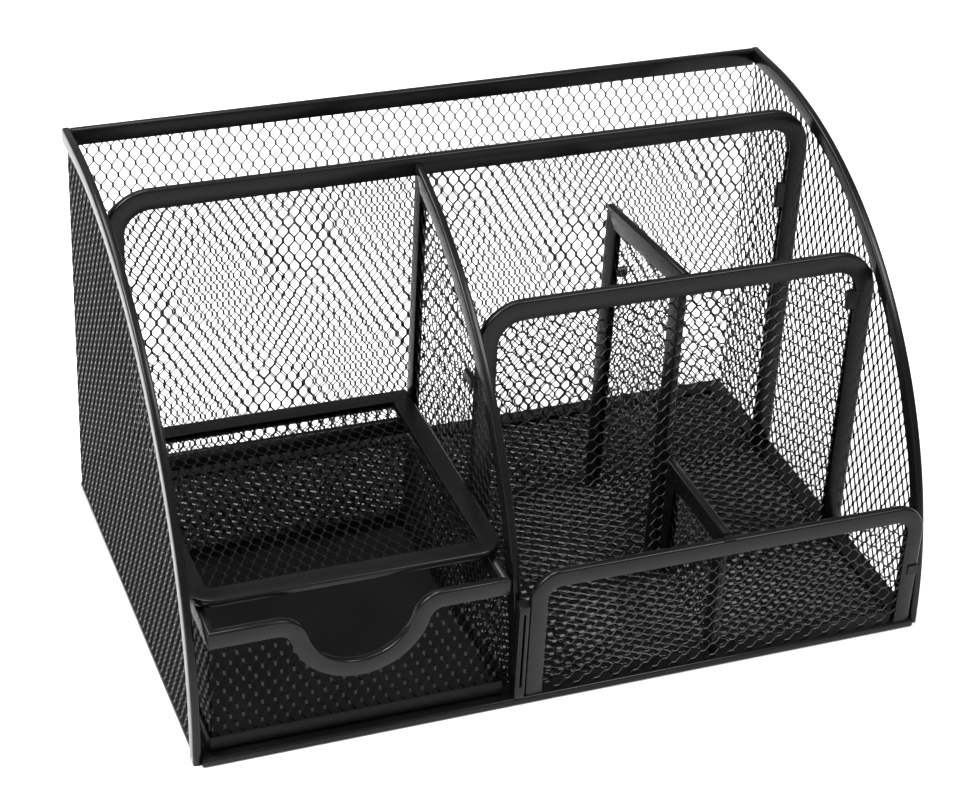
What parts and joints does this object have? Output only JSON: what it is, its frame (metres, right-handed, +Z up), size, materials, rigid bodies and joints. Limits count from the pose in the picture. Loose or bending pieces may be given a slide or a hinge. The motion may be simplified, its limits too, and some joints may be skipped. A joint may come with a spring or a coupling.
{
  "type": "pen stand with drawer",
  "caption": "Black expanded-mesh steel pen stand: curved side walls, a rear letter slot, a shelf over a scoop-front drawer, and pen bays split by mesh dividers.",
  "frame": {"origin": "on the desk, under the middle of the stand", "axes": "+X to the right along the stand's length, +Y to the back wall, -Y the front that the drawer opens towards, +Z up"},
  "size_m": [0.22, 0.14, 0.124],
  "materials": {
    "edging": "satin black powder coat on folded steel strip",
    "mesh": "satin black powder coat on expanded steel mesh",
    "pan": "satin black powder coat on flat steel sheet",
    "pad": "matt black foam rubber"
  },
  "bodies": {
    "stand": {"base_mesh": "mesh", "back_mesh": "mesh", "left_side_mesh": "mesh", "right_side_mesh": "mesh", "middle_panel_mesh": "mesh", "centre_divider_mesh": "mesh", "upper_front_mesh": "mesh", "lower_front_mesh": "mesh", "rear_divider_mesh": "mesh", "front_divider_mesh": "mesh", "shelf_mesh": "mesh", "base_frame": "edging", "back_edging": "edging", "left_side_edging": "edging", "right_side_edging": "edging", "middle_panel_edging": "edging", "centre_divider_edging": "edging", "upper_front_edging": "edging", "lower_front_edging": "edging", "rear_divider_edging": "edging", "front_divider_edging": "edging", "shelf_edging": "edging", "divider_foot_clip": "edging", "hooked_tabs": "edging", "base_pad": "pad"},
    "drawer": {"drawer_front_mesh": "mesh", "drawer_left_mesh": "mesh", "drawer_right_mesh": "mesh", "drawer_back_mesh": "mesh", "drawer_front_edging": "edging", "drawer_left_edging": "edging", "drawer_right_edging": "edging", "drawer_back_edging": "edging", "drawer_pan": "pan"}
  },
  "joints": [
    {"name": "drawer_slide", "type": "slide", "parent": "stand", "child": "drawer", "axis": [0, -1, 0], "range_m": [0, 0.075]}
  ]
}
